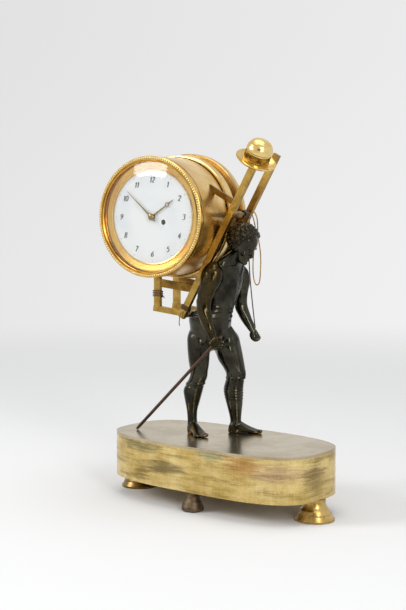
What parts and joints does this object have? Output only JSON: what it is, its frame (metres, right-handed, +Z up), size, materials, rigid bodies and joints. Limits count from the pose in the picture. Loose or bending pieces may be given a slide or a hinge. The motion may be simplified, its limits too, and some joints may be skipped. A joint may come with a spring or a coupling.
{
  "type": "desk clock",
  "caption": "Figural desk clock: a walking porter in patinated bronze carries a gilt drum clock on a pack frame, on a long oval brass base with turned feet.",
  "frame": {"origin": "centre of the object's outline on the surface that its feet stand on", "axes": "+X along the base, to the right of someone who faces the dial; +Y from the dial side to the back; +Z up"},
  "size_m": [0.2424, 0.105, 0.3265],
  "materials": {
    "gilt_brass": "brushed gilt brass, worn to brown and rose in the hollows",
    "polished_brass": "polished, slightly dulled to grey-beige",
    "raw_brass": "fine turned brass",
    "steel": "bright turned steel",
    "blued_steel": "blued steel",
    "dark_bronze": "dark brown patina over bronze, rubbed gold on the raised places",
    "staff_brown": "brown patinated bronze rod",
    "lashing_cord": "thin twisted dark cord",
    "gilt_rope": "thin twisted cord with gilt wear",
    "white_enamel": "fired white enamel with black numerals and dots",
    "clear_glass": "clear domed glass",
    "gilt_hands": "gilt brass hands"
  },
  "bodies": {
    "clock": {"base_band": "gilt_brass", "base_top": "polished_brass", "base_floor": "raw_brass", "end_feet": "gilt_brass", "side_feet": "raw_brass", "foot_nuts": "steel", "figure_body": "dark_bronze", "figure_head": "dark_bronze", "right_arm": "dark_bronze", "left_arm": "dark_bronze", "figure_screws": "steel", "staff": "staff_brown", "near_post": "gilt_brass", "far_post": "gilt_brass", "drum_pillars": "gilt_brass", "upper_rails": "gilt_brass", "foot_bars": "gilt_brass", "cross_rungs": "gilt_brass", "pack_screw": "steel", "drum_brackets": "gilt_brass", "hat": "gilt_brass", "post_lashing": "lashing_cord", "pillar_lashing": "lashing_cord", "foot_lashing": "lashing_cord", "rope_hank": "gilt_rope", "hand_cord": "lashing_cord", "drum_case": "gilt_brass", "bezel_hinge_pin": "steel", "dial_surround": "gilt_brass", "dial": "white_enamel", "rear_hinge_pin": "steel", "false_plate": "raw_brass", "front_plate": "raw_brass", "back_plate": "raw_brass", "plate_pillars": "raw_brass", "plate_screws": "blued_steel", "click_spring": "blued_steel", "hairspring": "blued_steel", "balance_cock": "gilt_brass"},
    "bezel": {"front_bezel": "gilt_brass", "bezel_glass": "clear_glass"},
    "rear_door": {"rear_cover": "gilt_brass"},
    "minute_group": {"minute_hand": "gilt_hands", "cannon_pinion": "steel", "hand_boss": "gilt_hands"},
    "hour_group": {"hour_hand": "gilt_hands", "hour_wheel": "raw_brass"},
    "minute_wheel_group": {"minute_wheel": "raw_brass"},
    "winding_group": {"barrel_arbor": "steel", "ratchet_wheel": "steel"},
    "click_group": {"click": "steel"},
    "fourth_group": {"fourth_wheel": "raw_brass"},
    "third_group": {"third_wheel": "raw_brass"},
    "centre_group": {"centre_wheel": "raw_brass"},
    "barrel_group": {"spring_barrel": "raw_brass", "mainspring": "blued_steel"},
    "escape_group": {"escape_wheel": "steel"},
    "balance_group": {"balance": "raw_brass"}
  },
  "joints": [
    {"name": "bezel_hinge", "type": "hinge", "parent": "clock", "child": "bezel", "pos_m": [-0.10584, -0.04213, 0.2575], "axis": [0, 0, -1], "range_deg": [0, 100]},
    {"name": "rear_cover_hinge", "type": "hinge", "parent": "clock", "child": "rear_door", "pos_m": [-0.11991, 0.0228, 0.2575], "axis": [0, 0, 1], "range_deg": [0, 100]},
    {"name": "minute_hand_turn", "type": "hinge", "parent": "clock", "child": "minute_group", "pos_m": [-0.05037, -0.03541, 0.2575], "axis": [-0.1495, 0.9888, 0], "continuous": true},
    {"name": "hour_hand_turn", "type": "hinge", "parent": "clock", "child": "hour_group", "pos_m": [-0.05052, -0.03442, 0.2575], "axis": [-0.1495, 0.9888, 0], "continuous": true},
    {"name": "minute_wheel_turn", "type": "hinge", "parent": "clock", "child": "minute_wheel_group", "pos_m": [-0.05577, -0.02813, 0.26174], "axis": [-0.1495, 0.9888, 0], "continuous": true},
    {"name": "winding_arbor_turn", "type": "hinge", "parent": "clock", "child": "winding_group", "pos_m": [-0.04004, -0.02677, 0.25289], "axis": [-0.1495, 0.9888, 0], "continuous": true},
    {"name": "click_lift", "type": "hinge", "parent": "clock", "child": "click_group", "pos_m": [-0.03649, -0.02491, 0.24749], "axis": [0.1495, -0.9888, 0], "range_deg": [0, 10], "stiffness_Nm_per_rad": 0.0005},
    {"name": "fourth_wheel_turn", "type": "hinge", "parent": "clock", "child": "fourth_group", "pos_m": [-0.06782, -0.01913, 0.2551], "axis": [-0.1495, 0.9888, 0], "continuous": true},
    {"name": "third_wheel_turn", "type": "hinge", "parent": "clock", "child": "third_group", "pos_m": [-0.06213, -0.0202, 0.2629], "axis": [-0.1495, 0.9888, 0], "continuous": true},
    {"name": "centre_wheel_turn", "type": "hinge", "parent": "clock", "child": "centre_group", "pos_m": [-0.05354, -0.01445, 0.2575], "axis": [-0.1495, 0.9888, 0], "continuous": true},
    {"name": "barrel_turn", "type": "hinge", "parent": "clock", "child": "barrel_group", "pos_m": [-0.04138, -0.01787, 0.25289], "axis": [-0.1495, 0.9888, 0], "continuous": true},
    {"name": "escape_wheel_turn", "type": "hinge", "parent": "clock", "child": "escape_group", "pos_m": [-0.06078, -0.02212, 0.24964], "axis": [-0.1495, 0.9888, 0], "continuous": true},
    {"name": "balance_swing", "type": "hinge", "parent": "clock", "child": "balance_group", "pos_m": [-0.06023, -0.00909, 0.24496], "axis": [-0.1495, 0.9888, 0], "range_deg": [-130, 130], "stiffness_Nm_per_rad": 0.00002}
  ],
  "couplings": [
    {"joint": "hour_hand_turn", "follows": "minute_hand_turn", "ratio": 0.083333},
    {"joint": "minute_wheel_turn", "follows": "minute_hand_turn", "ratio": -0.33333},
    {"joint": "third_wheel_turn", "follows": "fourth_wheel_turn", "ratio": -0.13333},
    {"joint": "centre_wheel_turn", "follows": "fourth_wheel_turn", "ratio": 0.016667},
    {"joint": "barrel_turn", "follows": "fourth_wheel_turn", "ratio": -0.0027778},
    {"joint": "escape_wheel_turn", "follows": "fourth_wheel_turn", "ratio": -7.5}
  ]
}
